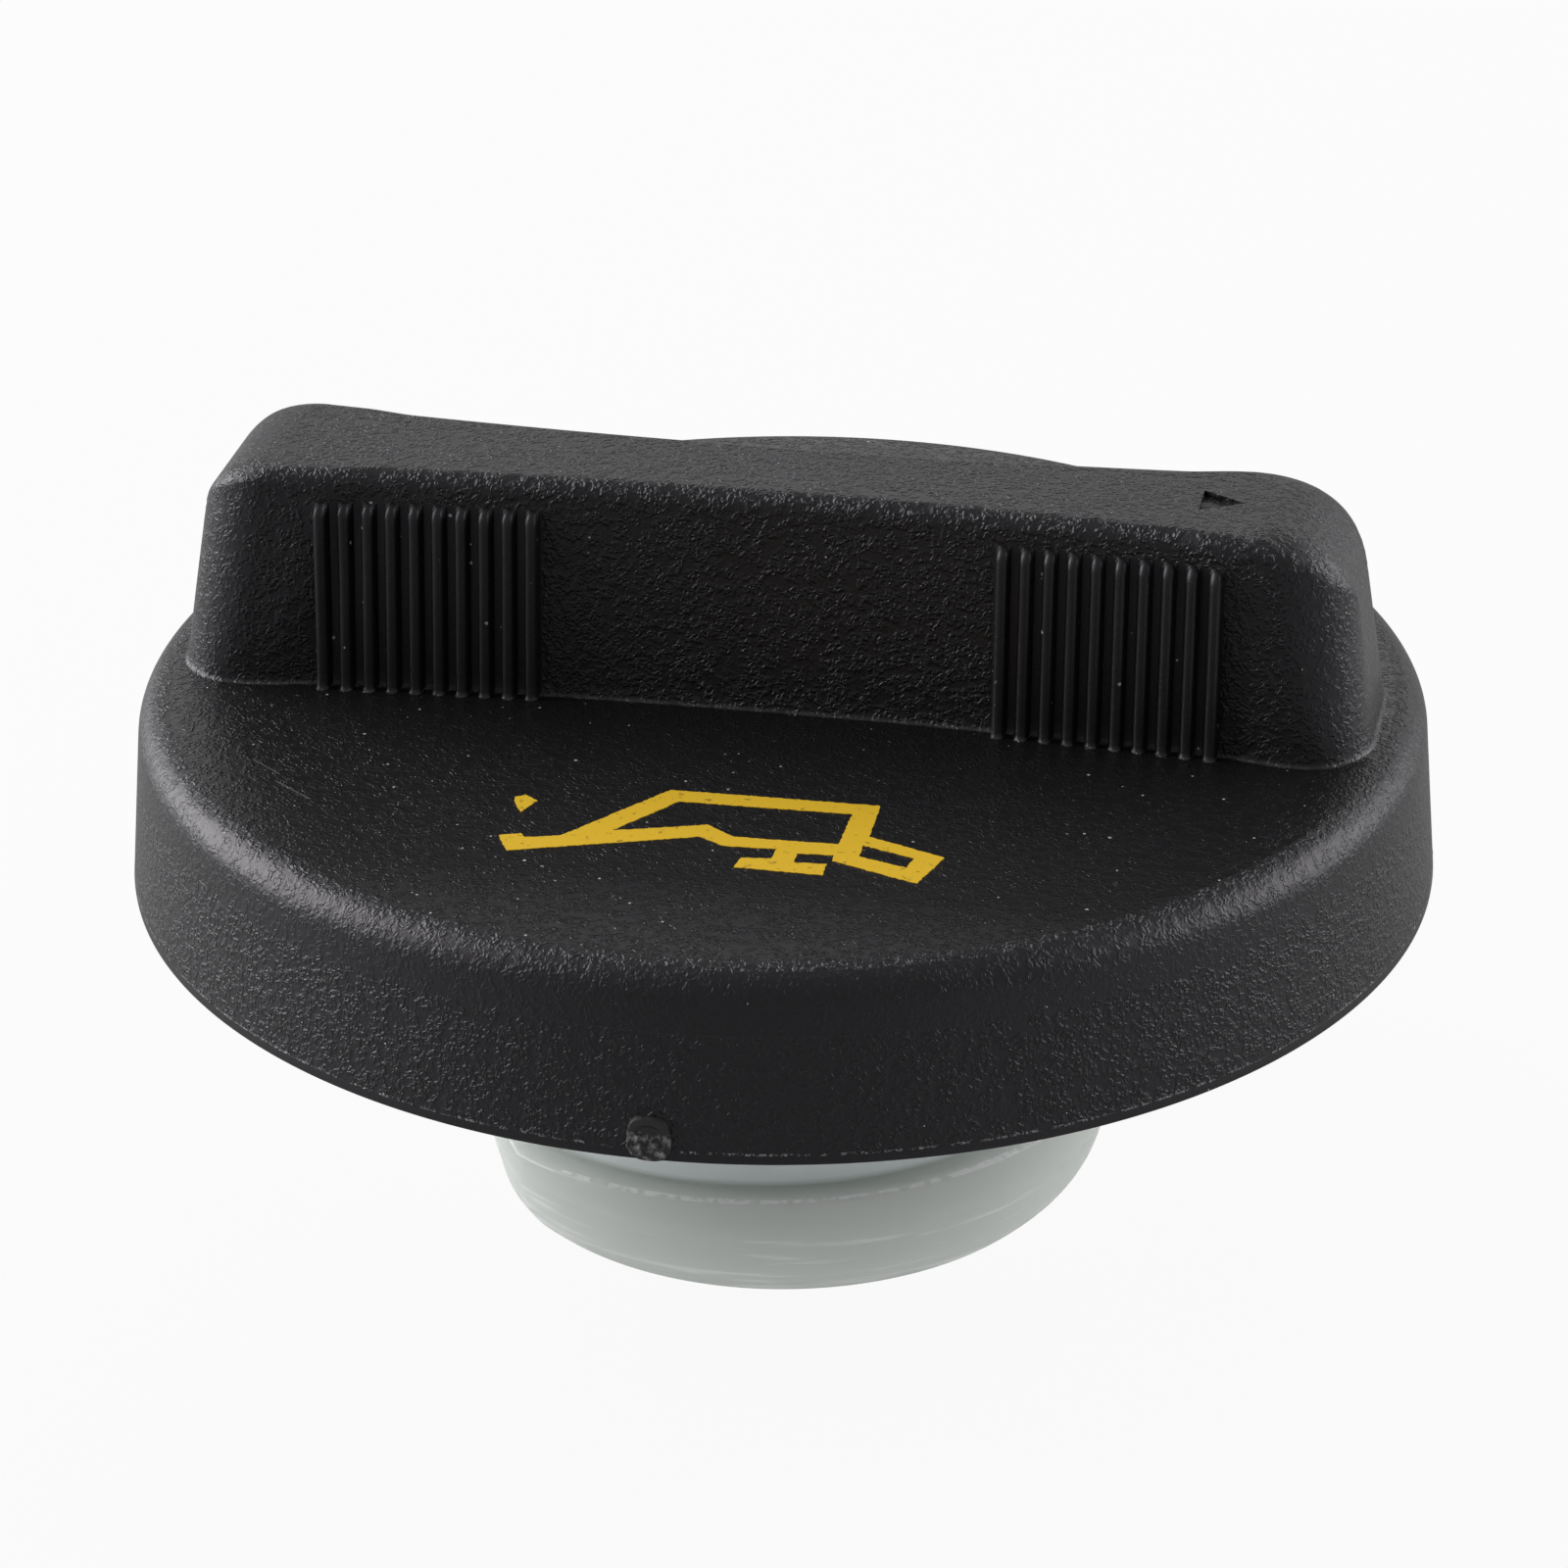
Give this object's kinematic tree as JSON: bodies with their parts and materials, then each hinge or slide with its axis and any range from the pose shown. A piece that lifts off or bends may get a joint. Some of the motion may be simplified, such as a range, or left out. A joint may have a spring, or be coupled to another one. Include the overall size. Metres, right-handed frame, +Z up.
{
  "type": "oil filler cap",
  "caption": "Engine oil filler cap: round skirted cap with a waisted finger bar and grip ribs, and a hollow bayonet plug with a seal ring below.",
  "frame": {"origin": "centre of the plug's lower rim, on the axis of the cap, on the surface the cap stands on", "axes": "+Z up the axis of the cap, from the plug to the finger bar; +X along the finger bar, the way the arrow points"},
  "size_m": [0.07, 0.07, 0.0409],
  "materials": {
    "cap_black": "fine spark-eroded grain, matte",
    "plug_natural": "milky natural nylon, satin, slightly scuffed",
    "seal_rubber": "smooth matte rubber"
  },
  "bodies": {
    "root": {"grip_cap": "cap_black", "bayonet_plug": "plug_natural", "seal_ring": "seal_rubber"}
  },
  "joints": []
}
